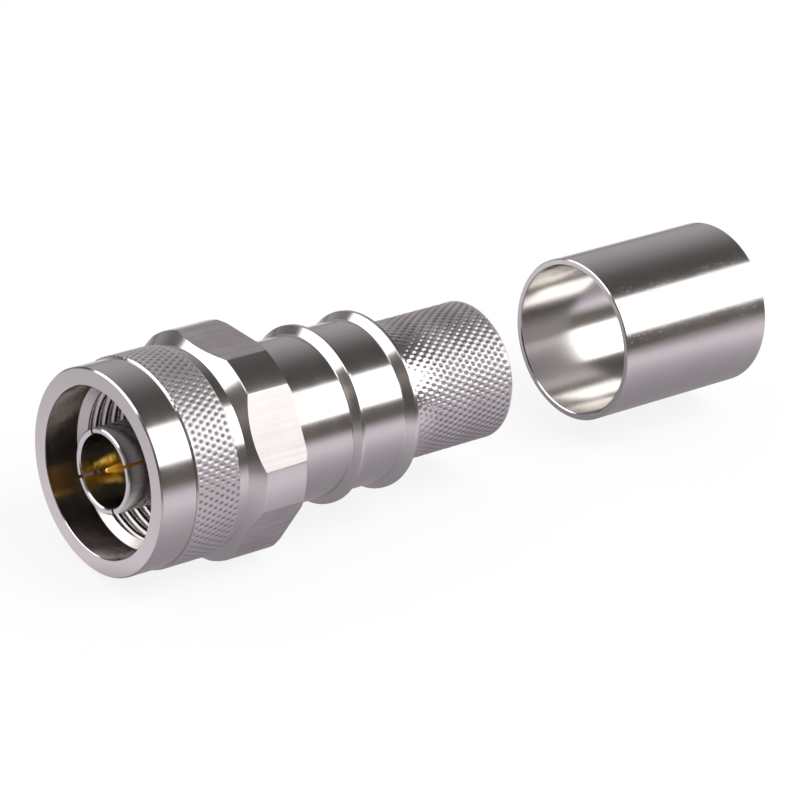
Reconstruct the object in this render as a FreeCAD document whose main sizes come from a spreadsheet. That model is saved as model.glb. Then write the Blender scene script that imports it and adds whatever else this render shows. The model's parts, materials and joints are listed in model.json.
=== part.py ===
import FreeCAD, Part
import math
import os
import re

import Sketcher

# A crimp plug of the 50 ohm threaded coaxial family, for a cable with a jacket of 15 mm.
# The axis is X. The plug mates towards -X, and the origin is on the axis at the outer
# contact's rim, which is the interface's reference plane. All sizes are in millimetres.

doc = FreeCAD.newDocument("coaxial_plug")

# Driving dimensions: alias, value, what it is
DIMENSIONS = [
    ("seat_gap", 0.02, "radial room between pieces that are pressed together"),
    ("turn_gap", 0.08, "radial room between the nut and the plug body that it turns on"),
    ("ring_gap", 0.1, "room at each side of the snap ring in its groove in the nut"),

    ("nut_lead", 0.6, "how far the nut's face stands in front of the reference plane"),
    ("nut_length", 15.9, "face to rear end"),
    ("collar_radius", 9.85, "plain collar at the front"),
    ("face_chamfer", 0.15, "outer edge of the face"),
    ("mouth_radius", 8.15, "plain mouth in front of the thread"),
    ("mouth_depth", 3.66, "from the face"),
    ("thread_radius", 7.46, "minor radius of the 5/8-24 thread"),
    ("thread_runout", 0.2, "from the rear end of the thread to the gasket"),
    ("knurl_setback", 3.85, "from the face to the knurled band"),
    ("knurl_width", 4.85, "knurled band"),
    ("knurl_radius", 10.05, "over the knurl"),
    ("knurl_chamfer", 0.15, "both edges of the knurled band"),
    ("band_radius", 9.75, "plain band behind the knurl"),
    ("band_width", 1.1, "plain band behind the knurl"),
    ("across_flats", 20.64, "milled hexagon, 13/16 inch"),
    ("corner_height", 0.63, "round corners of the bar above the middle of the flats"),
    ("flat_count", 6, "milled flats"),
    ("rear_chamfer", 0.3, "rear edge of the hexagon"),

    ("gasket_seat", 10.6, "front face of the plug body, behind the reference plane"),
    ("barrel_radius", 7.85, "plug body"),
    ("ridge_radius", 8.66, "both ridges"),
    ("ridge_land", 0.3, "flat top of a ridge"),
    ("ridge_edge", 0.2, "chamfer behind the top of a ridge"),
    ("barrel_length", 12.3, "from the plug body's front to the foot of its ridge"),
    ("front_ridge_rise", 0.6, "length of its sloping front"),
    ("line_bore", 5.22, "bore for the outer contact's base and the front insulator"),
    ("bush_bore", 5.92, "bore for the retaining bush"),
    ("spigot_bore", 6.9, "bore for the crimp body's spigot"),

    ("ring_setback", 1.7, "from the plug body's front to the snap ring"),
    ("ring_thickness", 1.0, "along the axis"),
    ("ring_depth", 0.8, "how deep the snap ring sits in the plug body"),
    ("ring_height", 1.5, "snap ring, across the axis"),
    ("ring_split", 3.0, "opening in the snap ring"),
    ("seal_setback", 0.7, "from the snap ring to the rear seal"),
    ("seal_width", 0.95, "rear seal, along the axis"),
    ("seal_height", 0.95, "rear seal, across the axis"),
    ("seal_room", 0.05, "between the rear seal and the nut's bore"),

    ("gasket_thickness", 1.1, "face gasket"),
    ("gasket_neck_room", 0.15, "between the gasket and the outer contact's neck"),
    ("gasket_thread_room", 0.2, "by which the gasket passes through the thread"),

    ("contact_outer_radius", 4.07, "spring fingers of the outer contact"),
    ("contact_inner_radius", 3.5, "spring fingers of the outer contact"),
    ("finger_length", 7.4, "thin part of the outer contact"),
    ("finger_edge", 0.12, "chamfers on the rim"),
    ("neck_radius", 4.45, "thicker part behind the fingers"),
    ("base_length", 3.6, "pressed base of the outer contact"),
    ("slot_length", 6.6, "slots between the fingers"),
    ("slot_width", 0.3, "slots between the fingers"),
    ("slot_pairs", 2, "slots on opposite sides are cut as one"),
    ("slot_turn", -31, "degrees about the axis"),

    ("front_bead_length", 3.2, "front insulator"),
    ("bead_recess_depth", 1.0, "ring recess in the front of the front insulator"),
    ("bead_recess_inner", 2.3, "inner radius of that recess"),
    ("bead_recess_outer", 4.0, "outer radius of that recess"),
    ("bush_length", 2.0, "retaining bush"),
    ("bush_inner_radius", 4.4, "retaining bush"),
    ("rear_bead_length", 3.6, "rear insulator"),
    ("rear_bead_bore", 6.1, "bore for the rear insulator in the crimp body"),
    ("rear_lip", 0.6, "lip of the rear insulator that holds the contact"),
    ("rear_lip_radius", 2.4, "hole in that lip"),

    ("pin_setback", 0.4, "tip of the pin behind the reference plane"),
    ("pin_tip_radius", 0.18, "flat at the tip of the pin"),
    ("pin_nose", 2.0, "conical nose of the pin"),
    ("pin_radius", 0.825, "mating pin"),
    ("pin_shoulder", 5.3, "shoulder of the pin behind the reference plane"),
    ("line_radius", 1.5, "thicker part of the pin"),
    ("line_chamfer", 0.25, "edge of the pin's shoulder"),
    ("socket_outer_radius", 2.75, "socket for the cable's centre conductor"),
    ("socket_inner_radius", 2.27, "socket for a centre conductor of 4.47 mm"),
    ("socket_floor", 1.0, "solid part in front of the socket"),
    ("socket_slot_length", 3.2, "slots in the socket"),
    ("socket_slot_width", 0.4, "slots in the socket"),
    ("socket_mouth", 0.2, "chamfer at the mouth of the socket"),

    ("shank_radius", 7.95, "crimp body in front of its ridge"),
    ("shank_length", 5.2, "from the plug body to the foot of the crimp body's ridge"),
    ("rear_ridge_rise", 0.75, "length of its sloping front"),
    ("post_radius", 6.81, "knurled post under the cable's braid"),
    ("post_length", 13.35, "from the ridge to the rear end of the post"),
    ("post_chamfer", 0.3, "rear edge of the post"),
    ("cable_bore", 5.87, "bore for a cable dielectric of 11.56 mm"),
    ("cable_mouth", 0.3, "chamfer at the mouth of that bore"),

    ("ferrule_length", 18.9, "crimp ferrule"),
    ("ferrule_outer_radius", 8.2, "crimp ferrule"),
    ("ferrule_wall", 0.65, "crimp ferrule"),
    ("ferrule_gap", 13.6, "from the post's end to the ferrule while it is off the post"),
]

sheet = doc.addObject("Spreadsheet::Sheet", "Sizes")
for row, (alias, value, meaning) in enumerate(DIMENSIONS, start=1):
    sheet.set(f"A{row}", alias)
    sheet.set(f"B{row}", str(value))
    sheet.set(f"C{row}", meaning)
    sheet.setAlias(f"B{row}", alias)
doc.recompute()

# Places along the axis that several pieces share, as sums of the driving dimensions
NUT_FACE = "(0 - nut_lead)"
NUT_REAR = f"({NUT_FACE} + nut_length)"
KNURL_START = f"({NUT_FACE} + knurl_setback)"
KNURL_END = f"({KNURL_START} + knurl_width)"
BAND_END = f"({KNURL_END} + band_width)"
BAR_RADIUS = "(across_flats / 2 + corner_height)"
NUT_BORE = "(barrel_radius + turn_gap)"
THREAD_END = "(gasket_seat - gasket_thickness - thread_runout)"
RING_START = "(gasket_seat + ring_setback)"
RING_END = f"({RING_START} + ring_thickness)"
RING_INSIDE = "(barrel_radius - ring_depth)"
RING_OUTSIDE = f"({RING_INSIDE} + ring_height)"
SEAL_START = f"({RING_END} + seal_setback)"
SEAL_END = f"({SEAL_START} + seal_width)"
SEAL_OUTSIDE = f"({NUT_BORE} - seal_room)"
SEAL_INSIDE = f"({SEAL_OUTSIDE} - seal_height)"
BASE_END = "(gasket_seat + base_length)"
FRONT_BEAD_END = f"({BASE_END} + front_bead_length)"
BUSH_END = f"({FRONT_BEAD_END} + bush_length)"
REAR_BEAD_END = f"({BUSH_END} + rear_bead_length)"
FRONT_RIDGE_START = "(gasket_seat + barrel_length)"
FRONT_RIDGE_TOP = f"({FRONT_RIDGE_START} + front_ridge_rise)"
FRONT_RIDGE_END = f"({FRONT_RIDGE_TOP} + ridge_land + ridge_edge)"
REAR_RIDGE_START = f"({FRONT_RIDGE_END} + shank_length)"
REAR_RIDGE_TOP = f"({REAR_RIDGE_START} + rear_ridge_rise)"
REAR_RIDGE_END = f"({REAR_RIDGE_TOP} + ridge_land + ridge_edge)"
POST_END = f"({REAR_RIDGE_END} + post_length)"
SOCKET_END = f"({REAR_BEAD_END} - rear_lip)"


def bound(text):
    """The same sum with each size read from the sheet."""
    return re.sub(r"[a-z][a-z_]*", r"Sizes.\g<0>", text)


def origin_plane(body, role):
    return next(plane for plane in body.Origin.OriginFeatures if plane.Role == role)


def closed_outline(body, name, plane, corners):
    """A sketch whose corners start round the origin, and are each held by two sums."""
    sketch = body.newObject("Sketcher::SketchObject", name)
    sketch.AttachmentSupport = (origin_plane(body, plane), [""])
    sketch.MapMode = "FlatFace"
    count = len(corners)
    turns = [2 * math.pi * corner / count for corner in range(count)]
    loose = [FreeCAD.Vector(math.cos(turn), math.sin(turn), 0) for turn in turns]
    for corner in range(count):
        sketch.addGeometry(Part.LineSegment(loose[corner], loose[(corner + 1) % count]), False)
    for corner in range(count):
        sketch.addConstraint(Sketcher.Constraint("Coincident", corner, 2, (corner + 1) % count, 1))
    for corner, (across, up) in enumerate(corners):
        for kind, size, place in (("DistanceX", across, loose[corner].x), ("DistanceY", up, loose[corner].y)):
            index = sketch.addConstraint(Sketcher.Constraint(kind, -1, 1, corner, 1, place))
            sketch.setExpression(f"Constraints[{index}]", bound(size))
    return sketch


def turned(name, corners):
    """A body turned about X from corners given as (place along the axis, radius)."""
    body = doc.addObject("PartDesign::Body", name)
    body.Label = name
    sketch = closed_outline(body, f"{name}_section", "XY_Plane", corners)
    turning = body.newObject("PartDesign::Revolution", f"{name}_turning")
    turning.Profile = sketch
    turning.ReferenceAxis = (sketch, ["H_Axis"])
    turning.Angle = 360
    return body


def cut(body, sketch, name, depth, both_ways=False):
    """A pocket, which has to take something away."""
    doc.recompute()
    before = body.Shape.Volume
    pocket = body.newObject("PartDesign::Pocket", name)
    pocket.Profile = sketch
    pocket.SideType = "Symmetric" if both_ways else "One side"
    pocket.setExpression("Length", bound(depth))
    doc.recompute()
    if not body.Shape.Volume < before:
        raise RuntimeError(f"{name} cuts nothing")
    return pocket


def repeated(body, feature, name, count, angle):
    """The feature again round the X axis; the pattern becomes the end of the body."""
    pattern = body.newObject("PartDesign::PolarPattern", name)
    pattern.Originals = [feature]
    pattern.Axis = (origin_plane(body, "X_Axis"), [""])
    pattern.Angle = angle
    pattern.setExpression("Occurrences", bound(count))
    body.Tip = pattern


def slots(body, start, end, width, reach):
    """Straight slots through both walls of a sleeve, repeated a quarter turn further on."""
    sketch = closed_outline(body, f"{body.Name}_slot_outline", "XY_Plane", [
        (start, f"0 - {width} / 2"),
        (end, f"0 - {width} / 2"),
        (end, f"{width} / 2"),
        (start, f"{width} / 2"),
    ])
    slot = cut(body, sketch, f"{body.Name}_slot", f"2 * ({reach} + {width})", both_ways=True)
    repeated(body, slot, f"{body.Name}_slots", "slot_pairs", 180)


def coupling_nut():
    body = turned("coupling_nut", [
        (NUT_FACE, "mouth_radius"),
        (f"{NUT_FACE} + mouth_depth", "mouth_radius"),
        (f"{NUT_FACE} + mouth_depth + mouth_radius - thread_radius", "thread_radius"),
        (THREAD_END, "thread_radius"),
        (THREAD_END, NUT_BORE),
        (f"{RING_START} - ring_gap", NUT_BORE),
        (f"{RING_START} - ring_gap", f"{RING_OUTSIDE} + ring_gap"),
        (f"{RING_END} + ring_gap", f"{RING_OUTSIDE} + ring_gap"),
        (f"{RING_END} + ring_gap", NUT_BORE),
        (NUT_REAR, NUT_BORE),
        (NUT_REAR, f"{BAR_RADIUS} - rear_chamfer"),
        (f"{NUT_REAR} - rear_chamfer", BAR_RADIUS),
        (f"{BAND_END} + {BAR_RADIUS} - band_radius", BAR_RADIUS),
        (BAND_END, "band_radius"),
        (KNURL_END, "band_radius"),
        (KNURL_END, "knurl_radius - knurl_chamfer"),
        (f"{KNURL_END} - knurl_chamfer", "knurl_radius"),
        (f"{KNURL_START} + knurl_chamfer", "knurl_radius"),
        (KNURL_START, "knurl_radius - knurl_chamfer"),
        (KNURL_START, "collar_radius"),
        (f"{NUT_FACE} + face_chamfer", "collar_radius"),
        (NUT_FACE, "collar_radius - face_chamfer"),
    ])
    # One flat is milled from below and five more follow round the axis.
    waste = closed_outline(body, "coupling_nut_waste", "YZ_Plane", [
        (f"0 - {BAR_RADIUS}", "0 - across_flats / 2"),
        (f"0 - {BAR_RADIUS}", f"0 - {BAR_RADIUS} - corner_height"),
        (BAR_RADIUS, f"0 - {BAR_RADIUS} - corner_height"),
        (BAR_RADIUS, "0 - across_flats / 2"),
    ])
    waste.setExpression("AttachmentOffset.Base.z", bound(NUT_REAR))
    flat = cut(body, waste, "coupling_nut_flat", f"{NUT_REAR} - {BAND_END}")
    repeated(body, flat, "coupling_nut_flats", "flat_count", 360)
    return body


def nut_snap_ring():
    body = turned("nut_snap_ring", [
        (RING_START, RING_INSIDE),
        (RING_END, RING_INSIDE),
        (RING_END, RING_OUTSIDE),
        (RING_START, RING_OUTSIDE),
    ])
    opening = closed_outline(body, "nut_snap_ring_opening", "YZ_Plane", [
        ("0 - ring_split / 2", "0"),
        ("ring_split / 2", "0"),
        ("ring_split / 2", f"{RING_OUTSIDE} + ring_height"),
        ("0 - ring_split / 2", f"{RING_OUTSIDE} + ring_height"),
    ])
    opening.setExpression("AttachmentOffset.Base.z", bound(RING_END))
    cut(body, opening, "nut_snap_ring_split", "ring_thickness")
    return body


def face_gasket():
    """The ring that the jack's end presses on; it goes in through the thread."""
    inner_radius = "neck_radius + gasket_neck_room"
    outer_radius = "thread_radius - gasket_thread_room"
    return turned("face_gasket", [
        ("gasket_seat - gasket_thickness", inner_radius),
        ("gasket_seat", inner_radius),
        ("gasket_seat", outer_radius),
        ("gasket_seat - gasket_thickness", outer_radius),
    ])


def rear_seal():
    """A square-cut ring in the plug body's rear groove, under the nut's bore."""
    return turned("rear_seal", [
        (SEAL_START, SEAL_INSIDE),
        (SEAL_END, SEAL_INSIDE),
        (SEAL_END, SEAL_OUTSIDE),
        (SEAL_START, SEAL_OUTSIDE),
    ])


def outer_contact():
    """The slotted sleeve that springs into the jack, with a base pressed into the plug body."""
    body = turned("outer_contact", [
        ("finger_edge", "contact_inner_radius"),
        ("0", "contact_inner_radius + finger_edge"),
        ("0", "contact_outer_radius - finger_edge"),
        ("finger_edge", "contact_outer_radius"),
        ("finger_length", "contact_outer_radius"),
        ("finger_length + neck_radius - contact_outer_radius", "neck_radius"),
        ("gasket_seat", "neck_radius"),
        ("gasket_seat", "line_bore - seat_gap"),
        (BASE_END, "line_bore - seat_gap"),
        (BASE_END, "contact_inner_radius"),
    ])
    slots(body, "0 - finger_edge", "slot_length", "slot_width", "contact_outer_radius")
    body.Placement = FreeCAD.Placement(
        FreeCAD.Vector(0, 0, 0), FreeCAD.Rotation(FreeCAD.Vector(1, 0, 0), 0))
    body.setExpression("Placement.Rotation.Angle", bound("slot_turn"))
    return body


def plug_body():
    return turned("plug_body", [
        ("gasket_seat", "line_bore"),
        (FRONT_BEAD_END, "line_bore"),
        (FRONT_BEAD_END, "bush_bore"),
        (BUSH_END, "bush_bore"),
        (BUSH_END, "spigot_bore"),
        (FRONT_RIDGE_END, "spigot_bore"),
        (FRONT_RIDGE_END, "ridge_radius - ridge_edge"),
        (f"{FRONT_RIDGE_END} - ridge_edge", "ridge_radius"),
        (FRONT_RIDGE_TOP, "ridge_radius"),
        (FRONT_RIDGE_START, "barrel_radius"),
        (f"{SEAL_END} + seat_gap", "barrel_radius"),
        (f"{SEAL_END} + seat_gap", f"{SEAL_INSIDE} - seat_gap"),
        (f"{SEAL_START} - seat_gap", f"{SEAL_INSIDE} - seat_gap"),
        (f"{SEAL_START} - seat_gap", "barrel_radius"),
        (f"{RING_END} + seat_gap", "barrel_radius"),
        (f"{RING_END} + seat_gap", f"{RING_INSIDE} - seat_gap"),
        (f"{RING_START} - seat_gap", f"{RING_INSIDE} - seat_gap"),
        (f"{RING_START} - seat_gap", "barrel_radius"),
        ("gasket_seat", "barrel_radius"),
    ])


def front_insulator():
    hole = "(line_radius + seat_gap)"
    return turned("front_insulator", [
        (BASE_END, hole),
        (BASE_END, "bead_recess_inner"),
        (f"{BASE_END} + bead_recess_depth", "bead_recess_inner"),
        (f"{BASE_END} + bead_recess_depth", "bead_recess_outer"),
        (BASE_END, "bead_recess_outer"),
        (BASE_END, "line_bore - seat_gap"),
        (FRONT_BEAD_END, "line_bore - seat_gap"),
        (FRONT_BEAD_END, hole),
    ])


def retaining_bush():
    return turned("retaining_bush", [
        (FRONT_BEAD_END, "bush_inner_radius"),
        (FRONT_BEAD_END, "bush_bore - seat_gap"),
        (BUSH_END, "bush_bore - seat_gap"),
        (BUSH_END, "bush_inner_radius"),
    ])


def rear_insulator():
    hole = "(socket_outer_radius + seat_gap)"
    return turned("rear_insulator", [
        (BUSH_END, hole),
        (SOCKET_END, hole),
        (SOCKET_END, "rear_lip_radius"),
        (REAR_BEAD_END, "rear_lip_radius"),
        (REAR_BEAD_END, "rear_bead_bore - seat_gap"),
        (BUSH_END, "rear_bead_bore - seat_gap"),
    ])


def centre_contact():
    """The pin, with a slotted socket at its rear end for the cable's centre conductor."""
    body = turned("centre_contact", [
        ("pin_setback", "0"),
        ("pin_setback", "pin_tip_radius"),
        ("pin_setback + pin_nose", "pin_radius"),
        ("pin_shoulder", "pin_radius"),
        ("pin_shoulder", "line_radius - line_chamfer"),
        ("pin_shoulder + line_chamfer", "line_radius"),
        (FRONT_BEAD_END, "line_radius"),
        (FRONT_BEAD_END, "socket_outer_radius"),
        (SOCKET_END, "socket_outer_radius"),
        (SOCKET_END, "socket_inner_radius + socket_mouth"),
        (f"{SOCKET_END} - socket_mouth", "socket_inner_radius"),
        (f"{FRONT_BEAD_END} + socket_floor", "socket_inner_radius"),
        (f"{FRONT_BEAD_END} + socket_floor", "0"),
    ])
    slots(body, f"{SOCKET_END} - socket_slot_length", f"{SOCKET_END} + socket_mouth",
          "socket_slot_width", "socket_outer_radius")
    return body


def crimp_body():
    """The rear half: a spigot inside the plug body, a ridge, and the post for the braid."""
    return turned("crimp_body", [
        (BUSH_END, "rear_bead_bore"),
        (REAR_BEAD_END, "rear_bead_bore"),
        (REAR_BEAD_END, "cable_bore"),
        (f"{POST_END} - cable_mouth", "cable_bore"),
        (POST_END, "cable_bore + cable_mouth"),
        (POST_END, "post_radius - post_chamfer"),
        (f"{POST_END} - post_chamfer", "post_radius"),
        (REAR_RIDGE_END, "post_radius"),
        (REAR_RIDGE_END, "ridge_radius - ridge_edge"),
        (f"{REAR_RIDGE_END} - ridge_edge", "ridge_radius"),
        (REAR_RIDGE_TOP, "ridge_radius"),
        (REAR_RIDGE_START, "shank_radius"),
        (FRONT_RIDGE_END, "shank_radius"),
        (FRONT_RIDGE_END, "spigot_bore - seat_gap"),
        (BUSH_END, "spigot_bore - seat_gap"),
    ])


def crimp_ferrule():
    """The plain tube that is crimped over the braid, drawn at the origin and moved to its place."""
    body = turned("crimp_ferrule", [
        ("0", "ferrule_outer_radius - ferrule_wall"),
        ("0", "ferrule_outer_radius"),
        ("ferrule_length", "ferrule_outer_radius"),
        ("ferrule_length", "ferrule_outer_radius - ferrule_wall"),
    ])
    body.setExpression("Placement.Base.x", bound(f"{POST_END} + ferrule_gap"))
    return body


pieces = [
    coupling_nut(),
    nut_snap_ring(),
    face_gasket(),
    rear_seal(),
    outer_contact(),
    plug_body(),
    front_insulator(),
    retaining_bush(),
    rear_insulator(),
    centre_contact(),
    crimp_body(),
    crimp_ferrule(),
]
doc.recompute()

failed = [item.Name for item in doc.Objects if "Invalid" in item.State or "Error" in item.State]
if failed:
    raise RuntimeError(f"not built: {failed}")
for piece in pieces:
    if piece.Shape.isNull() or not piece.Shape.isValid():
        raise RuntimeError(f"{piece.Label} has no valid shape")

os.makedirs("parts", exist_ok=True)
for piece in pieces:
    piece.Shape.exportStep(f"parts/{piece.Label}.step")
    box = piece.Shape.BoundBox
    print(f"{piece.Label}: {piece.Shape.Volume:.1f} mm3, x {box.XMin:.2f} to {box.XMax:.2f}, "
          f"z {box.ZMin:.2f} to {box.ZMax:.2f}, {len(piece.Shape.Solids)} solid")
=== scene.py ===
import json
import math

import bmesh
import bpy
from mathutils import Matrix, Vector


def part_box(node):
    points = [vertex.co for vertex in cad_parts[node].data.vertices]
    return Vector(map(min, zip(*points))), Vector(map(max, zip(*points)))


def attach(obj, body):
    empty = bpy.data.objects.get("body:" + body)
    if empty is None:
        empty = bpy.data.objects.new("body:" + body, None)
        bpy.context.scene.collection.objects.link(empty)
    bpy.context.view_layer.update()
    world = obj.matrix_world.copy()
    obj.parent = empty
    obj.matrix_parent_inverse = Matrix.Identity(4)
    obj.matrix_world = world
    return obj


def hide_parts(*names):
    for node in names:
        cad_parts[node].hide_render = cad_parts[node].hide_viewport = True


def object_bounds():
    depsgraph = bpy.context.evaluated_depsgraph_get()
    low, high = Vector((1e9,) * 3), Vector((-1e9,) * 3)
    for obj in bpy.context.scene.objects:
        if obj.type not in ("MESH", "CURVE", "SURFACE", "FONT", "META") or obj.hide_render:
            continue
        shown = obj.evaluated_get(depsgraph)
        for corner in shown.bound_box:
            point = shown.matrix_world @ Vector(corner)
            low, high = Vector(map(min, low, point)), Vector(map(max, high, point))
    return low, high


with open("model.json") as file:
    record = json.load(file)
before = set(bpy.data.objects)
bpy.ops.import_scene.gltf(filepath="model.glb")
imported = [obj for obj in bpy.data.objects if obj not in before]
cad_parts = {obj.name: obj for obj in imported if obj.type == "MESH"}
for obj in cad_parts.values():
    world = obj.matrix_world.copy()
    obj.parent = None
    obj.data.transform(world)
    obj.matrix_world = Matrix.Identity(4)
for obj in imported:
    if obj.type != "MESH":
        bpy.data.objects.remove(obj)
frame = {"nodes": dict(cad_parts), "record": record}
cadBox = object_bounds()
mm = 0.001              # the settings are in millimetres, the scene is in metres
onRadius = 0.01         # mm; a vertex this near to a radius lies on it
sharpFrom = 20          # degrees between two faces
bandMargin = 0.02       # mm; a painted band starts this far under the deepest pit
weldDistance = 0.001    # mm
cutTolerance = 0.0001   # mm
record = frame["record"]
bodyOfNode = {node: body for body, nodes in record["behaviour"]["bodies"].items() for node in nodes}
print("frame loaded:", len(frame["nodes"]), "nodes")


# Material nodes

def addNode(tree, kind, inputs=None, **settings):
    node = tree.nodes.new("ShaderNode" + kind)
    for name, value in settings.items():
        setattr(node, name, value)
    for name, value in (inputs or {}).items():
        if isinstance(value, bpy.types.NodeSocket):
            tree.links.new(value, node.inputs[name])
        else:
            node.inputs[name].default_value = value
    return node


def addMath(tree, operation, first, second=0.0):
    return addNode(tree, "Math", {0: first, 1: second}, operation=operation).outputs[0]


def remap(tree, value, low, high, newLow, newHigh):
    inputs = {"Value": value, "From Min": low, "From Max": high, "To Min": newLow, "To Max": newHigh}
    return addNode(tree, "MapRange", inputs).outputs["Result"]


def newGroup(name, size, outputs):
    # a node group that reads a place on the piece and the size of its marks in metres
    tree = bpy.data.node_groups.new(name, "ShaderNodeTree")
    tree.interface.new_socket("Place", in_out="INPUT", socket_type="NodeSocketVector")
    tree.interface.new_socket("Size", in_out="INPUT", socket_type="NodeSocketFloat").default_value = size
    for output in outputs:
        tree.interface.new_socket(output, in_out="OUTPUT", socket_type="NodeSocketFloat")
    return tree, tree.nodes.new("NodeGroupInput").outputs, tree.nodes.new("NodeGroupOutput").inputs


surfaceMarks = {
    "broadRings": 0.11,             # their rate, as a share of the fine rings'
    "streakStretch": 0.03,          # the rate along the axis, as a share of the rate across it
    "broadStreaks": 0.8,
    "specksInCloud": 14,            # along a line
    "speckRange": (0.66, 0.74),     # levels of the noise between which a speck starts and is whole
    "noiseRange": (0.3, 0.7),       # where most of a noise lies
    "twoNoisesRange": (0.7, 1.3),   # where most of the sum of two lies
}


def turningMarks():
    # rings round the axis, as a lathe tool leaves them
    tree, given, result = newGroup("turningMarks", 0.25 * mm, ("Height", "Shade"))
    along = addNode(tree, "SeparateXYZ", {0: given["Place"]}).outputs["X"]
    turns = addMath(tree, "DIVIDE", along, given["Size"])
    fine = addNode(tree, "TexNoise", {"W": turns, "Scale": 1, "Detail": 3}, noise_dimensions="1D")
    broad = addNode(tree, "TexNoise", {"W": turns, "Scale": surfaceMarks["broadRings"], "Detail": 1},
                    noise_dimensions="1D")
    tree.links.new(fine.outputs["Fac"], result["Height"])
    tree.links.new(broad.outputs["Fac"], result["Shade"])
    return tree


def millingMarks():
    # streaks along the axis, as a cutter's side leaves them on a flat
    tree, given, result = newGroup("millingMarks", 0.6 * mm, ("Height", "Shade"))
    stretch = (surfaceMarks["streakStretch"], 1, 1)
    narrow = addNode(tree, "VectorMath", {0: given["Place"], 1: stretch}, operation="MULTIPLY").outputs[0]
    scale = addMath(tree, "DIVIDE", 1, given["Size"])
    broadScale = addMath(tree, "MULTIPLY", scale, surfaceMarks["broadStreaks"])
    fine = addNode(tree, "TexNoise", {"Vector": narrow, "Scale": scale, "Detail": 4})
    broad = addNode(tree, "TexNoise", {"Vector": narrow, "Scale": broadScale})
    tree.links.new(fine.outputs["Fac"], result["Height"])
    tree.links.new(broad.outputs["Fac"], result["Shade"])
    return tree


def handledSurface():
    # soft clouds where the plating is a little duller, and small specks
    tree, given, result = newGroup("handledSurface", 2 * mm, ("Cloud", "Specks"))
    scale = addMath(tree, "DIVIDE", 1, given["Size"])
    cloud = addNode(tree, "TexNoise", {"Vector": given["Place"], "Scale": scale, "Detail": 4})
    speckScale = addMath(tree, "MULTIPLY", scale, surfaceMarks["specksInCloud"])
    specks = addNode(tree, "TexNoise", {"Vector": given["Place"], "Scale": speckScale, "Detail": 1})
    tree.links.new(cloud.outputs["Fac"], result["Cloud"])
    tree.links.new(remap(tree, specks.outputs["Fac"], *surfaceMarks["speckRange"], 0, 1), result["Specks"])
    return tree


markGroups = {"turned": turningMarks(), "milled": millingMarks()}
surfaceGroup = handledSurface()


def newMaterial(name):
    material = bpy.data.materials.new(name)
    material.use_nodes = True
    tree = material.node_tree
    return material, tree, tree.nodes["Principled BSDF"]


def shaded(colour, factor):
    return (*(min(1, part * factor) for part in colour), 1)


def metalFinish(name, metal):
    material, tree, shader = newMaterial(name)
    low, high = surfaceMarks["twoNoisesRange"]
    place = addNode(tree, "TexCoord").outputs["Object"]
    marks = addNode(tree, "Group", node_tree=markGroups[metal["marks"]])
    surface = addNode(tree, "Group", node_tree=surfaceGroup)
    for group, size in ((marks, metal["markSize"]), (surface, metal["cloudSize"])):
        tree.links.new(place, group.inputs["Place"])
        group.inputs["Size"].default_value = size * mm
    shade = addMath(tree, "ADD", marks.outputs["Shade"], surface.outputs["Cloud"])
    colour = addNode(tree, "Mix", {"Factor": remap(tree, shade, low, high, 0, 1)}, data_type="RGBA")
    colour.inputs["A"].default_value = shaded(metal["colour"], 1 - metal["unevenness"])
    colour.inputs["B"].default_value = shaded(metal["colour"], 1 + metal["unevenness"])
    result = colour.outputs["Result"]
    if "pitRadii" in metal:      # painted shade: pits get darker from the second radius down to the first
        deep, top = metal["pitRadii"]
        level = addNode(tree, "VectorMath", {0: place, 1: (0, 1, 1)}, operation="MULTIPLY").outputs[0]
        radius = addNode(tree, "VectorMath", {0: level}, operation="LENGTH").outputs["Value"]
        depth = remap(tree, radius, deep * mm, top * mm, 0, 1)
        shadedPits = addNode(tree, "Mix", {"Factor": depth}, data_type="RGBA")
        shadedPits.inputs["A"].default_value = shaded(metal["colour"], metal["pitShade"])
        tree.links.new(result, shadedPits.inputs["B"])
        result = shadedPits.outputs["Result"]
    tree.links.new(result, shader.inputs["Base Color"])
    roughness = remap(tree, shade, low, high, *metal["roughness"])
    if "runIn" in metal:         # smoother at the first place along the axis, and as named from the second on
        start, end = metal["runIn"]
        along = addNode(tree, "SeparateXYZ", {0: place}).outputs["X"]
        share = remap(tree, along, start * mm, end * mm, metal["runInShare"], 1)
        roughness = addMath(tree, "MULTIPLY", roughness, share)
    tree.links.new(roughness, shader.inputs["Roughness"])
    grooves = addNode(tree, "Bump", {"Height": marks.outputs["Height"], "Distance": metal["markDepth"] * mm})
    specks = addNode(tree, "Bump", {"Height": surface.outputs["Specks"], "Normal": grooves.outputs["Normal"],
                                    "Distance": metal.get("speckDepth", 0) * mm}, invert=True)
    tree.links.new(specks.outputs["Normal"], shader.inputs["Normal"])
    shader.inputs["Metallic"].default_value = 1
    return material


def mouldedFinish(name, stuff):
    material, tree, shader = newMaterial(name)
    place = addNode(tree, "TexCoord").outputs["Object"]
    clouds = addNode(tree, "Group", {"Place": place, "Size": stuff["cloudSize"] * mm},
                     node_tree=surfaceGroup).outputs["Cloud"]
    marks = addNode(tree, "Group", {"Place": place, "Size": stuff["markSize"] * mm},
                    node_tree=markGroups["turned"])
    colour = addNode(tree, "Mix", {"Factor": clouds}, data_type="RGBA")
    colour.inputs["A"].default_value = shaded(stuff["colour"], 1 - stuff["unevenness"])
    colour.inputs["B"].default_value = shaded(stuff["colour"], 1 + stuff["unevenness"])
    tree.links.new(colour.outputs["Result"], shader.inputs["Base Color"])
    roughness = remap(tree, clouds, *surfaceMarks["noiseRange"], *stuff["roughness"])
    tree.links.new(roughness, shader.inputs["Roughness"])
    grain = addNode(tree, "Bump", {"Height": marks.outputs["Height"], "Distance": stuff["markDepth"] * mm})
    tree.links.new(grain.outputs["Normal"], shader.inputs["Normal"])
    return material


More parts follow.
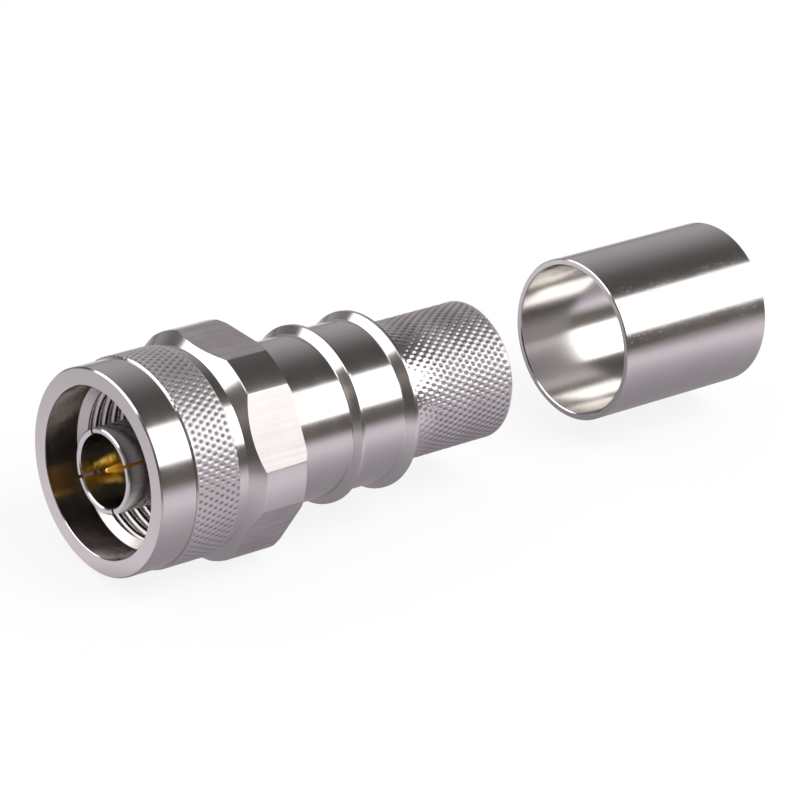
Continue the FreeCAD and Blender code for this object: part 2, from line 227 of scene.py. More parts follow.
plating = metalFinish("turnedPlating", {
    "colour": (0.66, 0.63, 0.62), "unevenness": 0.02, "roughness": (0.14, 0.18),
    "marks": "turned", "markSize": 0.3, "markDepth": 0.0012, "cloudSize": 3,
})
# a darker copy of the plating, with milling streaks: painted shade on the flats
milledPlatingShaded = metalFinish("milledPlatingShaded", {
    "colour": (0.59, 0.545, 0.54), "unevenness": 0.13, "roughness": (0.29, 0.37),
    "marks": "milled", "markSize": 0.35, "markDepth": 0.008, "cloudSize": 3,
})
knurledPlating = metalFinish("knurledPlating", {
    "colour": (0.7, 0.66, 0.67), "unevenness": 0.04, "roughness": (0.4, 0.46),
    "pitRadii": (9.96, 10.03), "pitShade": 0.32,
    "marks": "turned", "markSize": 0.3, "markDepth": 0.0012, "cloudSize": 3,
})
postPlating = metalFinish("postPlating", {
    "colour": (0.72, 0.68, 0.69), "unevenness": 0.04, "roughness": (0.38, 0.44),
    "runIn": (31, 36), "runInShare": 0.4, "pitRadii": (6.7, 6.79), "pitShade": 0.4,
    "marks": "turned", "markSize": 0.3, "markDepth": 0.0012, "cloudSize": 3,
})
# a darker copy of the plating: painted shade on the thread and lead-in inside the nut
threadPlatingShaded = metalFinish("threadPlatingShaded", {
    "colour": (0.52, 0.49, 0.485), "unevenness": 0.03, "roughness": (0.24, 0.3),
    "marks": "turned", "markSize": 0.2, "markDepth": 0.001, "cloudSize": 2,
})
# a darker copy of the plating: painted shade on the sleeve's outside, which sits in the nut's mouth
contactPlatingShaded = metalFinish("contactPlatingShaded", {
    "colour": (0.38, 0.36, 0.36), "unevenness": 0.02, "roughness": (0.15, 0.2),
    "marks": "turned", "markSize": 0.2, "markDepth": 0.0008, "cloudSize": 2,
})
# a lighter copy of the plating, with bore marks: painted light inside the sleeve and on the nut's mouth wall
boredPlatingLightened = metalFinish("boredPlatingLightened", {
    "colour": (0.79, 0.75, 0.71), "unevenness": 0.03, "roughness": (0.12, 0.16),
    "marks": "turned", "markSize": 0.12, "markDepth": 0.014, "cloudSize": 2,
})
ferrulePlating = metalFinish("ferrulePlating", {
    "colour": (0.66, 0.63, 0.62), "unevenness": 0.02, "roughness": (0.14, 0.19),
    "marks": "turned", "markSize": 1.2, "markDepth": 0.001, "cloudSize": 3.2, "speckDepth": 0.005,
})
# a lighter copy of the ferrule's plating: painted light inside the ferrule
drawnPlatingLightened = metalFinish("drawnPlatingLightened", {
    "colour": (0.74, 0.715, 0.69), "unevenness": 0.02, "roughness": (0.15, 0.18),
    "marks": "turned", "markSize": 1.2, "markDepth": 0.001, "cloudSize": 3.2,
})
goldPlating = metalFinish("goldPlating", {
    "colour": (0.98, 0.68, 0.15), "unevenness": 0.03, "roughness": (0.2, 0.26),
    "marks": "turned", "markSize": 0.15, "markDepth": 0.0006, "cloudSize": 1,
})
springBronze = metalFinish("springBronze", {
    "colour": (0.55, 0.4, 0.24), "unevenness": 0.05, "roughness": (0.25, 0.35),
    "marks": "turned", "markSize": 0.2, "markDepth": 0.002, "cloudSize": 1,
})
sealRubber = mouldedFinish("sealRubber", {
    "colour": (0.08, 0.035, 0.03), "unevenness": 0.15, "roughness": (0.5, 0.65), "cloudSize": 0.8,
    "markSize": 0.15, "markDepth": 0.004,
})
insulatorPlastic = mouldedFinish("insulatorPlastic", {
    "colour": (0.82, 0.82, 0.79), "unevenness": 0.03, "roughness": (0.35, 0.5), "cloudSize": 1.5,
    "markSize": 0.2, "markDepth": 0.003,
})
# the pieces that keep the frame's own meshes
innerFinishes = {
    "nut_snap_ring": springBronze,
    "face_gasket": sealRubber,
    "rear_seal": sealRubber,
    "front_insulator": insulatorPlastic,
    "rear_insulator": insulatorPlastic,
    "retaining_bush": plating,
}
for node, finish in innerFinishes.items():
    slots = frame["nodes"][node].data.materials
    slots.clear()
    slots.append(finish)
print("finishes made:", len(bpy.data.materials))


# Meshes

def reachOf(node):
    low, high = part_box(node)
    return low.x / mm, high.x / mm, high.y / mm      # front, rear and outer radius


def sectionMesh(corners):
    # corners: (place along the axis, radius, edge) in order round the wall; edge is the chamfer there
    mesh = bmesh.new()
    points = [mesh.verts.new((place * mm, 0, radius * mm)) for place, radius, edge in corners]
    closed = corners[0][1] > 0      # a section that starts on the axis stays open there
    for point, following in zip(points, points[1:] + points[:1] * closed):
        mesh.edges.new((point, following))
    for point, (place, radius, edge) in zip(points, corners):
        if edge:
            bmesh.ops.bevel(mesh, geom=[point], offset=edge * mm, offset_type="OFFSET", segments=1,
                            profile=0.5, affect="VERTICES", material=-1)
    return mesh


def divideEdge(mesh, start, end, radius, rows):
    # the section's edge along the axis between two places, cut into even rows
    middle = Vector(((start + end) / 2 * mm, 0, radius * mm))
    edge = min(mesh.edges, key=lambda edge: ((edge.verts[0].co + edge.verts[1].co) / 2 - middle).length)
    bmesh.ops.subdivide_edges(mesh, edges=[edge], cuts=rows - 1)


def spinSection(mesh, steps):
    bmesh.ops.spin(mesh, geom=mesh.verts[:] + mesh.edges[:], cent=(0, 0, 0), axis=(1, 0, 0),
                   dvec=(0, 0, 0), angle=2 * math.pi, steps=steps, use_merge=True)
    bmesh.ops.remove_doubles(mesh, verts=mesh.verts, dist=weldDistance * mm)
    bmesh.ops.recalc_face_normals(mesh, faces=mesh.faces)
    return mesh


def turned(corners, steps):
    return spinSection(sectionMesh(corners), steps)


def knurlBand(mesh, start, end, radius, knurl):
    # pits in a diamond pattern, which run out at both ends over the given lengths
    for vert in mesh.verts:
        place, turn = vert.co.x / mm, math.atan2(vert.co.z, vert.co.y) / (2 * math.pi)
        distance = math.hypot(vert.co.y, vert.co.z) / mm
        if abs(distance - radius) > onRadius or not start < place < end:
            continue
        waves = (place - start) / knurl["length"]
        left, right = (math.cos(2 * math.pi * (waves + lines * turn)) for lines in knurl["lines"])
        share = min(1, (place - start) / knurl["runIn"], (end - place) / knurl["runOut"])
        lost = knurl["depth"] * share * ((2 - left - right) / 4) ** knurl["sharpness"]
        vert.co.yz *= (distance - lost) / distance


def paintBand(mesh, start, end, low, high, index):
    # the faces between two places and two radii get another of the piece's materials
    for face in mesh.faces:
        middle = face.calc_center_median() / mm
        if start < middle.x < end and low < math.hypot(middle.y, middle.z) < high:
            face.material_index = index


def objectOf(name, mesh):
    data = bpy.data.meshes.new(name)
    mesh.to_mesh(data)
    mesh.free()
    made = bpy.data.objects.new(name, data)
    bpy.context.collection.objects.link(made)
    return made


def sawCuts(mesh, start, end, slots):
    # cuts through the wall of a sleeve from its open end, evenly spaced round the axis
    saw = bmesh.new()
    reach = slots["outside"] - slots["inside"]
    for cut in range(slots["count"]):
        blade = bmesh.ops.create_cube(saw, size=mm)["verts"]
        bmesh.ops.scale(saw, verts=blade, vec=(end - start, reach, slots["width"]))
        bmesh.ops.translate(saw, verts=blade,
                            vec=((start + end) / 2 * mm, (slots["inside"] + reach / 2) * mm, 0))
        turn = math.radians(slots["turn"]) + 2 * math.pi * cut / slots["count"]
        bmesh.ops.rotate(saw, verts=blade, cent=(0, 0, 0), matrix=Matrix.Rotation(turn, 3, "X"))
    blank, blades = objectOf("blank", mesh), objectOf("blades", saw)
    cutting = blank.modifiers.new("cutting", "BOOLEAN")
    cutting.operation, cutting.solver, cutting.object = "DIFFERENCE", "EXACT", blades
    finished = bmesh.new()
    finished.from_object(blank, bpy.context.evaluated_depsgraph_get())
    for used in (blank, blades):
        bpy.data.objects.remove(used)
    return finished


def addPiece(name, mesh, node, materials, keptSmooth=lambda edge: False):
    for face in mesh.faces:
        face.smooth = True
    for edge in mesh.edges:
        edge.smooth = edge.calc_face_angle(0) < math.radians(sharpFrom) or keptSmooth(edge)
    piece = objectOf(name, mesh)
    for material in materials:
        piece.data.materials.append(material)
    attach(piece, bodyOfNode[node])
    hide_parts(node)
    print("piece", name, len(piece.data.polygons), "faces")


# Coupling nut

nut = {
    "mouthRadius": 8.15,
    "mouthDepth": 3.66,
    "mouthEdge": 0.06,
    "faceEdge": 0.15,
    "collarRadius": 9.85,
    "knurlStart": 3.85,         # from the face
    "knurlWidth": 4.85,
    "knurlRadius": 10.05,
    "knurlEdge": 0.12,
    "bandRadius": 9.75,
    "bandWidth": 1.1,
    "acrossFlats": 20.64,
    "flats": 6,
    "barEdge": 0.05,
    "rearEdge": 0.3,
    "boreRadius": 7.93,
    "boreEdge": 0.2,
    "ringRoom": 0.1,            # round the snap ring
    "threadCrest": 7.46,
    "threadRoot": 7.94,
    "threadPitch": 25.4 / 24,
    "threadEnd": 9.9,           # from the face
    "threadRows": 16,           # for each pitch
    "threadCrestShare": 0.29,   # of the pitch
    "threadRootShare": 0.1,
    "steps": 688,               # about eight for each line of the knurl
}
nutKnurl = {
    "lines": (-85, 90),         # that cross a circle, in each direction
    "length": 1.22,             # of a diamond, along the axis
    "depth": 0.1,
    "sharpness": 2.4,
    "rows": 32,
    "runIn": 0.3,
    "runOut": 0.3,
}


def threadBore(mesh, start, end):
    # the bore at the crest radius gets one helical groove, with flat crests and roots
    depth = nut["threadRoot"] - nut["threadCrest"]
    for vert in mesh.verts:
        place, turn = vert.co.x / mm, math.atan2(vert.co.z, vert.co.y) / (2 * math.pi)
        distance = math.hypot(vert.co.y, vert.co.z) / mm
        if abs(distance - nut["threadCrest"]) > onRadius:
            continue
        if not start + onRadius < place < end - onRadius:
            continue
        phase = abs((place / nut["threadPitch"] - turn) % 1 - 0.5) * 2
        flank = 1 - nut["threadCrestShare"] - nut["threadRootShare"]
        sunk = min(1, max(0, (phase - nut["threadCrestShare"]) / flank))
        vert.co.yz *= (distance + sunk * depth) / distance


def millFlats(mesh, start):
    # six flats on the round bar behind a place; their faces get the second material
    for flat in range(nut["flats"]):
        turn = 2 * math.pi * flat / nut["flats"] - math.pi / 2
        outward = Vector((0, math.cos(turn), math.sin(turn)))
        bar = [face for face in mesh.faces if face.calc_center_median().x > start * mm]
        edges = {edge for face in bar for edge in face.edges}
        bar += list(edges | {vert for face in bar for vert in face.verts})
        cut = bmesh.ops.bisect_plane(mesh, geom=bar, dist=cutTolerance * mm, plane_no=outward,
                                     plane_co=outward * nut["acrossFlats"] / 2 * mm, clear_outer=True)
        outline = [item for item in cut["geom_cut"] if isinstance(item, bmesh.types.BMEdge)]
        for flatFace in bmesh.ops.contextual_create(mesh, geom=outline)["faces"]:
            flatFace.material_index = 1


def couplingNut():
    face, rear, barRadius = reachOf("coupling_nut")
    ringStart, ringEnd, ringRadius = reachOf("nut_snap_ring")
    knurlStart = face + nut["knurlStart"]
    knurlEnd = knurlStart + nut["knurlWidth"]
    bandEnd = knurlEnd + nut["bandWidth"]
    threadEnd = face + nut["threadEnd"]
    leadEnd = face + nut["mouthDepth"] + nut["mouthRadius"] - nut["threadCrest"]
    room = nut["ringRoom"]
    mesh = sectionMesh([
        (face, nut["mouthRadius"], nut["mouthEdge"]),
        (face, nut["collarRadius"], nut["faceEdge"]),
        (knurlStart, nut["collarRadius"], 0),
        (knurlStart, nut["knurlRadius"], nut["knurlEdge"]),
        (knurlEnd, nut["knurlRadius"], nut["knurlEdge"]),
        (knurlEnd, nut["bandRadius"], 0),
        (bandEnd, nut["bandRadius"], 0),
        (bandEnd + barRadius - nut["bandRadius"], barRadius, nut["barEdge"]),
        (rear, barRadius, nut["rearEdge"]),
        (rear, nut["boreRadius"], nut["boreEdge"]),
        (ringEnd + room, nut["boreRadius"], 0),
        (ringEnd + room, ringRadius + room, 0),
        (ringStart - room, ringRadius + room, 0),
        (ringStart - room, nut["boreRadius"], 0),
        (threadEnd, nut["boreRadius"], 0),
        (threadEnd, nut["threadCrest"], 0),
        (leadEnd, nut["threadCrest"], 0),
        (face + nut["mouthDepth"], nut["mouthRadius"], 0),
    ])
    threadRows = round((threadEnd - leadEnd) / nut["threadPitch"] * nut["threadRows"])
    divideEdge(mesh, leadEnd, threadEnd, nut["threadCrest"], threadRows)
    divideEdge(mesh, knurlStart, knurlEnd, nut["knurlRadius"], nutKnurl["rows"])
    spinSection(mesh, nut["steps"])
    threadBore(mesh, leadEnd, threadEnd)
    knurlBand(mesh, knurlStart, knurlEnd, nut["knurlRadius"], nutKnurl)
    # the flats get painted shade, a darker copy of the plating
    millFlats(mesh, bandEnd)
    bmesh.ops.recalc_face_normals(mesh, faces=mesh.faces)
    # the thread and lead-in get painted shade, a darker copy of the plating
    paintBand(mesh, face + nut["mouthDepth"], threadEnd, 0, nut["mouthRadius"], 3)
    # the mouth wall gets painted light, a lighter copy of the plating
    paintBand(mesh, face, face + nut["mouthDepth"], 0, nut["mouthRadius"], 4)
    pitFloor = nut["knurlRadius"] - nutKnurl["depth"] - bandMargin
    chamfer = nut["knurlEdge"]
    paintBand(mesh, knurlStart + chamfer, knurlEnd - chamfer, pitFloor, nut["knurlRadius"], 2)

    def inThread(edge):
        if max(math.hypot(*vert.co.yz) for vert in edge.verts) > (nut["threadRoot"] + onRadius) * mm:
            return False
        return all(leadEnd * mm < vert.co.x < threadEnd * mm for vert in edge.verts)

    materials = [plating, milledPlatingShaded, knurledPlating, threadPlatingShaded, boredPlatingLightened]
    addPiece("couplingNut", mesh, "coupling_nut", materials, inThread)


couplingNut()

# Plug body

plug = {
    "barrelRadius": 7.85,
    "barrelLength": 12.3,       # to the foot of the ridge
    "frontEdge": 0.3,
    "ridgeRise": 0.6,
    "ridgeEdge": 0.2,
    "footEdge": 0.05,
    "lineBore": 5.22,
    "bushBore": 5.92,
    "spigotBore": 6.9,
    "ringDepth": 0.8,           # of the snap ring in the barrel
    "sealHeight": 0.95,         # of the rear seal, across the axis
    "grooveRoom": 0.02,
    "steps": 240,
}


def plugBody():
    front, rear, ridge = reachOf("plug_body")
    ringStart, ringEnd = reachOf("nut_snap_ring")[:2]
    sealStart, sealEnd, sealRadius = reachOf("rear_seal")
    bushStart, bushEnd = reachOf("retaining_bush")[:2]
    room, barrel = plug["grooveRoom"], plug["barrelRadius"]
    ringFloor = barrel - plug["ringDepth"] - room
    sealFloor = sealRadius - plug["sealHeight"] - room
    foot = front + plug["barrelLength"]
    mesh = turned([
        (front, plug["lineBore"], 0),
        (front, barrel, plug["frontEdge"]),
        (ringStart - room, barrel, 0),
        (ringStart - room, ringFloor, 0),
        (ringEnd + room, ringFloor, 0),
        (ringEnd + room, barrel, 0),
        (sealStart - room, barrel, 0),
        (sealStart - room, sealFloor, 0),
        (sealEnd + room, sealFloor, 0),
        (sealEnd + room, barrel, 0),
        (foot, barrel, plug["footEdge"]),
        (foot + plug["ridgeRise"], ridge, plug["footEdge"]),
        (rear, ridge, plug["ridgeEdge"]),
        (rear, plug["spigotBore"], 0),
        (bushEnd, plug["spigotBore"], 0),
        (bushEnd, plug["bushBore"], 0),
        (bushStart, plug["bushBore"], 0),
        (bushStart, plug["lineBore"], 0),
    ], plug["steps"])
    addPiece("plugBody", mesh, "plug_body", [plating])


plugBody()

# Crimp body

crimp = {
    "spigotRadius": 6.88,
    "spigotEdge": 0.2,
    "shankRadius": 7.95,
    "shankLength": 5.2,         # to the foot of the ridge
    "frontEdge": 0.05,
    "ridgeRise": 0.75,
    "ridgeLand": 0.5,
    "ridgeEdge": 0.2,
    "footEdge": 0.05,
    "postRadius": 6.81,
    "postEdge": 0.3,
    "beadBore": 6.1,
    "cableBore": 5.87,
    "cableEdge": 0.3,
    "steps": 512,               # about eight for each line of the knurl
}
postKnurl = {
    "lines": (-67, 53),
    "length": 1.205,
    "depth": 0.14,
    "sharpness": 1.7,
    "rows": 88,
    "runIn": 5,
    "runOut": 0.3,
}


def crimpBody():
    front, rear, ridge = reachOf("crimp_body")
    beadEnd, shoulder = reachOf("rear_insulator")[1], reachOf("plug_body")[1]
    foot = shoulder + crimp["shankLength"]
    postStart = foot + crimp["ridgeRise"] + crimp["ridgeLand"]
    mesh = sectionMesh([
        (front, crimp["beadBore"], 0),
        (beadEnd, crimp["beadBore"], 0),
        (beadEnd, crimp["cableBore"], 0),
        (rear, crimp["cableBore"], crimp["cableEdge"]),
        (rear, crimp["postRadius"], crimp["postEdge"]),
        (postStart, crimp["postRadius"], 0),
        (postStart, ridge, crimp["ridgeEdge"]),
        (foot + crimp["ridgeRise"], ridge, crimp["footEdge"]),
        (foot, crimp["shankRadius"], crimp["footEdge"]),
        (shoulder, crimp["shankRadius"], crimp["frontEdge"]),
        (shoulder, crimp["spigotRadius"], 0),
        (front, crimp["spigotRadius"], crimp["spigotEdge"]),
    ])
    divideEdge(mesh, postStart, rear, crimp["postRadius"], postKnurl["rows"])
    spinSection(mesh, crimp["steps"])
    knurlBand(mesh, postStart, rear - crimp["postEdge"], crimp["postRadius"], postKnurl)
    pitFloor = crimp["postRadius"] - postKnurl["depth"] - bandMargin
    paintBand(mesh, postStart, rear, pitFloor, crimp["postRadius"], 1)
    addPiece("crimpBody", mesh, "crimp_body", [plating, postPlating])


crimpBody()

# Outer contact

sleeve = {
    "inside": 3.5,
    "outside": 4.07,
    "rimEdge": 0.12,
    "fingerLength": 7.4,
    "neckRadius": 4.45,
    "steps": 180,
}
sleeveSlots = {"count": 4, "width": 0.3, "length": 6.6, "turn": -31, "inside": 2.5, "outside": 5}


def outerContact():
    front, rear, base = reachOf("outer_contact")
    bodyFront = reachOf("plug_body")[0]
    neckStart = front + sleeve["fingerLength"]
    mesh = turned([
        (front, sleeve["inside"], sleeve["rimEdge"]),
        (front, sleeve["outside"], sleeve["rimEdge"]),
        (neckStart, sleeve["outside"], 0),
        (neckStart + sleeve["neckRadius"] - sleeve["outside"], sleeve["neckRadius"], 0),
        (bodyFront, sleeve["neckRadius"], 0),
        (bodyFront, base, 0),
        (rear, base, 0),
        (rear, sleeve["inside"], 0),
    ], sleeve["steps"])
    mesh = sawCuts(mesh, front - sleeveSlots["width"], front + sleeveSlots["length"], sleeveSlots)
    # the bore gets painted light and the outside painted shade, as lighter and darker copies of the plating;
    # the rim keeps the plain plating
    paintBand(mesh, front, rear, 0, sleeve["inside"], 1)
    rim = sleeve["rimEdge"]
    paintBand(mesh, front - rim, front + rim, sleeve["inside"], sleeve["outside"], 2)
    addPiece("outerContact", mesh, "outer_contact", [contactPlatingShaded, boredPlatingLightened, plating])


outerContact()

# Centre contact

pin = {
    "tipRadius": 0.18,
    "tipEdge": 0.06,
    "noseLength": 2.0,
    "radius": 0.825,
    "shoulder": 4.9,            # from the tip
    "lineRadius": 1.5,
    "lineEdge": 0.25,
    "socketRadius": 2.27,
    "socketFloor": 1.0,
    "socketEdge": 0.15,
    "steps": 96,
}
socketSlots = {"count": 4, "width": 0.4, "length": 3.2, "turn": 0, "inside": 1.5, "outside": 3.5}


def centreContact():
    front, rear, socket = reachOf("centre_contact")
    socketStart = reachOf("retaining_bush")[0]
    floorPlace = socketStart + pin["socketFloor"]
    mesh = turned([
        (front, 0, 0),
        (front, pin["tipRadius"], pin["tipEdge"]),
        (front + pin["noseLength"], pin["radius"], 0),
        (front + pin["shoulder"], pin["radius"], 0),
        (front + pin["shoulder"], pin["lineRadius"], pin["lineEdge"]),
        (socketStart, pin["lineRadius"], 0),
        (socketStart, socket, pin["socketEdge"]),
        (rear, socket, pin["socketEdge"]),
        (rear, pin["socketRadius"], pin["socketEdge"]),
        (floorPlace, pin["socketRadius"], 0),
        (floorPlace, 0, 0),
    ], pin["steps"])
    mesh = sawCuts(mesh, rear - socketSlots["length"], rear + socketSlots["width"], socketSlots)
    addPiece("centreContact", mesh, "centre_contact", [goldPlating])


centreContact()

# Crimp ferrule

ferrule = {"wall": 0.65, "edge": 0.1, "steps": 240}


def crimpFerrule():
    front, rear, outside = reachOf("crimp_ferrule")
    inside = outside - ferrule["wall"]
    corners = [(front, inside), (front, outside), (rear, outside), (rear, inside)]
    mesh = turned([(place, radius, ferrule["edge"]) for place, radius in corners], ferrule["steps"])
    # the inside gets painted light, a lighter copy of the plating
    paintBand(mesh, front, rear, 0, inside, 1)
    addPiece("crimpFerrule", mesh, "crimp_ferrule", [ferrulePlating, drawnPlatingLightened])


crimpFerrule()

# Floor, tent, lamp and world

floorHeight = cadBox[0].z
studio = {
    "floorSize": 4.0,
    "floorColour": (0.9, 0.86, 0.92),
    "floorRoughness": 0.9,
    "shadowShare": 0.14,        # how much of the floor's shading the camera sees
    "tentRadius": 0.4,
    "tentSegments": 96,
    "tentStrength": 2.4,
    "sideChange": 0.02,         # where the left painted glow meets the right one, as a share of the radius
    "sideBlend": 0.17,
    "leftSlant": 62,            # degrees that the left softbox turns over the range below
    "leftSlantRange": (-1.35, -0.35),
    "rightMiddle": 43.2,        # degrees; the right softbox rises and widens towards the cable end
    "rightHalf": 22.4,          # degrees from its middle to an edge
    "rightBlend": 0.9,
    "rightReach": 0.61,         # the share of the radius where it has its named size
    "rightRise": 12,
    "rightGrowth": 1.2,
    # poolPlace to shadowBlend: a painted pool of light and a painted shadow of the object on the floor, which
    # only the metal mirrors
    "poolPlace": (56, 6, 0),    # the middle of the painted pool of light on the floor
    "poolSize": 100,
    "dimSide": (-0.87, -0.5, 0),    # towards the floor's dimmer part
    "dimRange": (38, 60),       # distances that way over which the floor gets dimmer
    "dimLevel": 0.62,
    "shadowLevel": 0.4,
    "shadowRange": (4, 36),     # distances from the axis
    "shadowTurn": -45,          # degrees; the side that the floor's light comes from
    "shadowBlend": 3,           # where the shadow starts on that side
    "skyLevel": 0.75,           # how bright the world is where it lights a dull surface
}
# degrees from the front horizon over the top to the rear horizon, and the painted glow there that the metal
# mirrors
rightTent = [(0, (0.063, 0.057, 0.053)), (19, (0.063, 0.057, 0.053)), (72, (0.052, 0.048, 0.045)),
             (84, (0.042, 0.039, 0.037)), (95, (0.042, 0.039, 0.038)), (108, (0.059, 0.055, 0.056)),
             (116, (0.083, 0.079, 0.08)), (132, (0.133, 0.128, 0.131)), (148, (0.175, 0.168, 0.174)),
             (158, (0.188, 0.18, 0.19)), (180, (0.183, 0.176, 0.188))]
leftTent = [(0, (0.052, 0.047, 0.043)), (10, (0.083, 0.075, 0.07)), (25, (0.133, 0.12, 0.117)),
            (40, (0.07, 0.063, 0.058)), (64.8, (0.05, 0.048, 0.05)), (67.8, (1, 1, 1)), (149.5, (1, 1, 1)),
            (152.5, (0.055, 0.053, 0.06)), (166, (0.06, 0.058, 0.066)), (180, (0.115, 0.11, 0.12))]
# the painted floor light that the metal sees, against distance / (distance + poolSize) from the pool's middle
litPool = [(0.39, (0.86, 0.81, 0.88)), (0.45, (0.68, 0.65, 0.69)), (0.54, (0.47, 0.45, 0.47)),
           (0.61, (0.39, 0.37, 0.38)), (0.71, (0.33, 0.31, 0.31)), (0.82, (0.16, 0.145, 0.14))]


def stagePiece(name, mesh, material):
    made = objectOf(name, mesh)
    made.data.materials.append(material)
    return made


def colourRamp(tree, value, stops, span=1):
    ramp = addNode(tree, "ValToRGB", {"Fac": value})
    elements = ramp.color_ramp.elements
    while len(elements) < len(stops):
        elements.new(1)
    for element, (place, colour) in zip(elements, stops):
        element.position = place / span
        element.color = (*colour, 1)
    return ramp.outputs["Color"]


def floorGlow(tree):
    # a painted pool of light round the object with a painted soft shadow of the object in it, for the metal
    # to mirror
    place = addNode(tree, "TexCoord").outputs["Object"]
    flat = addNode(tree, "VectorMath", {0: place, 1: (1, 1, 0)}, operation="MULTIPLY").outputs[0]
    middle = Vector(studio["poolPlace"]) * mm
    away = addNode(tree, "VectorMath", {0: flat, 1: middle}, operation="DISTANCE").outputs["Value"]
    share = addMath(tree, "DIVIDE", away, addMath(tree, "ADD", away, studio["poolSize"] * mm))
    parts = addNode(tree, "SeparateXYZ", {0: flat}).outputs
    beside = addNode(tree, "Clamp", {"Value": parts["X"], "Min": cadBox[0].x, "Max": cadBox[1].x}).outputs[0]
    foot = addNode(tree, "CombineXYZ", {"X": beside}).outputs[0]
    near = addNode(tree, "VectorMath", {0: flat, 1: foot}, operation="DISTANCE").outputs["Value"]
    low, high = studio["shadowRange"]
    shadow = addNode(tree, "MapRange", {"Value": near, "From Min": low * mm, "From Max": high * mm,
                                        "To Min": 1 - studio["shadowLevel"], "To Max": 0},
                     interpolation_type="SMOOTHSTEP").outputs["Result"]
    turn = math.radians(studio["shadowTurn"])
    blend = studio["shadowBlend"] * mm
    lightSide = addNode(tree, "VectorMath", {0: flat, 1: (math.sin(turn), math.cos(turn), 0)},
                        operation="DOT_PRODUCT").outputs["Value"]
    inShadow = addMath(tree, "MULTIPLY", shadow, remap(tree, lightSide, -blend, blend, 1, 0))
    dimSide = addNode(tree, "VectorMath", {0: flat, 1: studio["dimSide"]},
                      operation="DOT_PRODUCT").outputs["Value"]
    start, end = studio["dimRange"]
    dimmed = remap(tree, dimSide, start * mm, end * mm, 1, studio["dimLevel"])
    level = addMath(tree, "MULTIPLY", addMath(tree, "SUBTRACT", 1, inShadow), dimmed)
    return colourRamp(tree, share, litPool), level


def onlyMirrored(made):
    # seen by the metal alone, so that it neither hides nor lights anything
    made.visible_camera = made.visible_diffuse = made.visible_transmission = False
    made.visible_shadow = made.visible_volume_scatter = False


def floorStage():
    mesh = bmesh.new()
    bmesh.ops.create_grid(mesh, x_segments=1, y_segments=1, size=studio["floorSize"] / 2)
    bmesh.ops.translate(mesh, verts=mesh.verts, vec=(0, 0, floorHeight))
    material, tree, shader = newMaterial("floorPaint")
    shader.inputs["Base Color"].default_value = (*studio["floorColour"], 1)
    shader.inputs["Roughness"].default_value = studio["floorRoughness"]
    shader.inputs["Specular IOR Level"].default_value = 0
    white = addNode(tree, "Emission", {"Color": (1, 1, 1, 1), "Strength": 1})
    # glossy rays see the painted pool of light and painted shadow as a glow; the camera sees the floor white
    # with a little of its real shading
    colour, level = floorGlow(tree)
    mirrored = addNode(tree, "Emission", {"Color": colour, "Strength": level})
    path = addNode(tree, "LightPath").outputs
    seen = addMath(tree, "MAXIMUM", path["Is Camera Ray"], path["Is Transmission Ray"])
    share = addMath(tree, "MULTIPLY", seen, 1 - studio["shadowShare"])
    shown = addNode(tree, "MixShader", {0: share, 1: shader.outputs[0], 2: white.outputs[0]})
    inMetal = path["Is Glossy Ray"]
    mixed = addNode(tree, "MixShader", {0: inMetal, 1: shown.outputs[0], 2: mirrored.outputs[0]})
    tree.links.new(mixed.outputs[0], tree.nodes["Material Output"].inputs["Surface"])
    stagePiece("floor", mesh, material)


def lightTent():
    # a glowing sphere that only the metal sees: painted reflections of dark tent walls and two softboxes
    mesh = bmesh.new()
    segments = studio["tentSegments"]
    bmesh.ops.create_uvsphere(mesh, u_segments=segments, v_segments=segments // 2,
                              radius=studio["tentRadius"])
    material, tree, shader = newMaterial("tentReflectionGlow")
    tree.nodes.remove(shader)
    place = addNode(tree, "SeparateXYZ", {0: addNode(tree, "TexCoord").outputs["Object"]}).outputs
    across = addMath(tree, "DIVIDE", place["X"], studio["tentRadius"])
    forward = addMath(tree, "MULTIPLY", place["Y"], -1)
    turn = addMath(tree, "MULTIPLY", addMath(tree, "ARCTAN2", place["Z"], forward), 180 / math.pi)
    slant = remap(tree, across, *studio["leftSlantRange"], -studio["leftSlant"], 0)
    leftTurn = addMath(tree, "ADD", turn, slant)
    beyond = addMath(tree, "SUBTRACT", across, studio["rightReach"])
    risen = addMath(tree, "SUBTRACT", addMath(tree, "SUBTRACT", turn, studio["rightMiddle"]),
                    addMath(tree, "MULTIPLY", beyond, studio["rightRise"]))
    grown = addMath(tree, "ADD", addMath(tree, "MULTIPLY", beyond, studio["rightGrowth"]), 1)
    offMiddle = addMath(tree, "ABSOLUTE", addMath(tree, "DIVIDE", risen, grown))
    half, soft = studio["rightHalf"], studio["rightBlend"]
    inBox = remap(tree, offMiddle, half - soft, half + soft, 1, 0)
    leftReflectionGlow = colourRamp(tree, addMath(tree, "DIVIDE", leftTurn, 180), leftTent, 180)
    rightReflectionGlow = addNode(tree, "Mix", {"Factor": inBox}, data_type="RGBA")
    rightWallGlow = colourRamp(tree, addMath(tree, "DIVIDE", turn, 180), rightTent, 180)
    tree.links.new(rightWallGlow, rightReflectionGlow.inputs["A"])
    rightReflectionGlow.inputs["B"].default_value = (1, 1, 1, 1)
    change, blend = studio["sideChange"], studio["sideBlend"]
    side = remap(tree, across, change - blend, change + blend, 0, 1)
    reflectionGlow = addNode(tree, "Mix", {"Factor": side}, data_type="RGBA")
    tree.links.new(leftReflectionGlow, reflectionGlow.inputs["A"])
    tree.links.new(rightReflectionGlow.outputs["Result"], reflectionGlow.inputs["B"])
    glow = addNode(tree, "Emission", {"Color": reflectionGlow.outputs["Result"], "Strength": studio["tentStrength"]})
    tree.links.new(glow.outputs[0], tree.nodes["Material Output"].inputs["Surface"])
    onlyMirrored(stagePiece("lightTent", mesh, material))


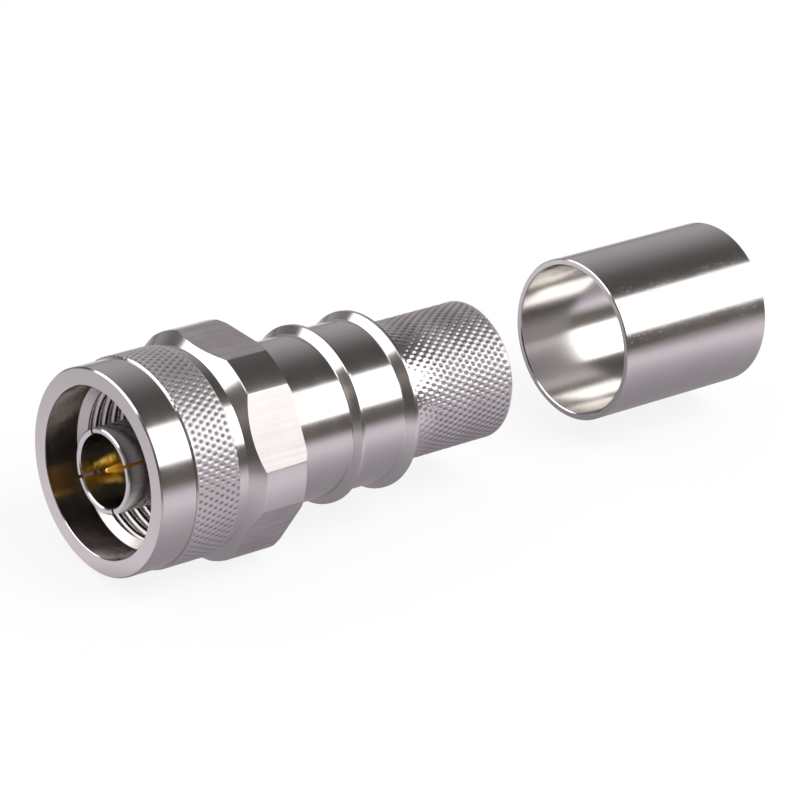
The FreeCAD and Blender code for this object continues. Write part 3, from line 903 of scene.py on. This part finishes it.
lamp = {"place": (300, -500, 800), "aim": (35, 0, 0), "size": 600, "power": 6}


def softLamp():
    data = bpy.data.lights.new("softLamp", "AREA")
    data.size = lamp["size"] * mm
    data.energy = lamp["power"]
    made = bpy.data.objects.new("softLamp", data)
    bpy.context.collection.objects.link(made)
    place, aim = Vector(lamp["place"]) * mm, Vector(lamp["aim"]) * mm
    made.location = place
    made.rotation_euler = (place - aim).to_track_quat("Z", "Y").to_euler()
    made.visible_glossy = made.visible_camera = False


def paleWorld():
    # white for the camera, and a little dimmer as a light
    world = bpy.data.worlds.new("studio")
    bpy.context.scene.world = world
    world.use_nodes = True
    tree = world.node_tree
    background = tree.nodes["Background"].inputs
    background["Color"].default_value = (1, 1, 1, 1)
    lighting = addNode(tree, "LightPath").outputs["Is Diffuse Ray"]
    tree.links.new(remap(tree, lighting, 0, 1, 1, studio["skyLevel"]), background["Strength"])


floorStage()
lightTent()
softLamp()
paleWorld()
print("stage set")

# Camera

view = {
    "target": (31.002, -4.784, 1.820),
    "azimuth": -132.21,
    "elevation": 25.85,
    "roll": 5.77,
    "distance": 380,
    "lens": 181.44,
    "sensorWidth": 36,
    "clipStart": 10,
}


def placeCamera():
    azimuth, elevation, roll = (math.radians(view[key]) for key in ("azimuth", "elevation", "roll"))
    back = Vector((math.cos(azimuth) * math.cos(elevation), math.sin(azimuth) * math.cos(elevation),
                   math.sin(elevation)))
    level = Vector((0, 0, 1)).cross(back).normalized()
    right = Matrix.Rotation(roll, 3, back) @ level
    up = back.cross(right)
    data = bpy.data.cameras.new("camera")
    data.lens = view["lens"]
    data.sensor_width = view["sensorWidth"]
    data.clip_start = view["clipStart"] * mm
    camera = bpy.data.objects.new("camera", data)
    bpy.context.collection.objects.link(camera)
    turn = Matrix((right, up, back)).transposed().to_4x4()
    place = Vector(view["target"]) * mm + back * view["distance"] * mm
    camera.matrix_world = Matrix.Translation(place) @ turn
    bpy.context.scene.camera = camera


placeCamera()
bpy.context.scene.view_settings.view_transform = "Standard"
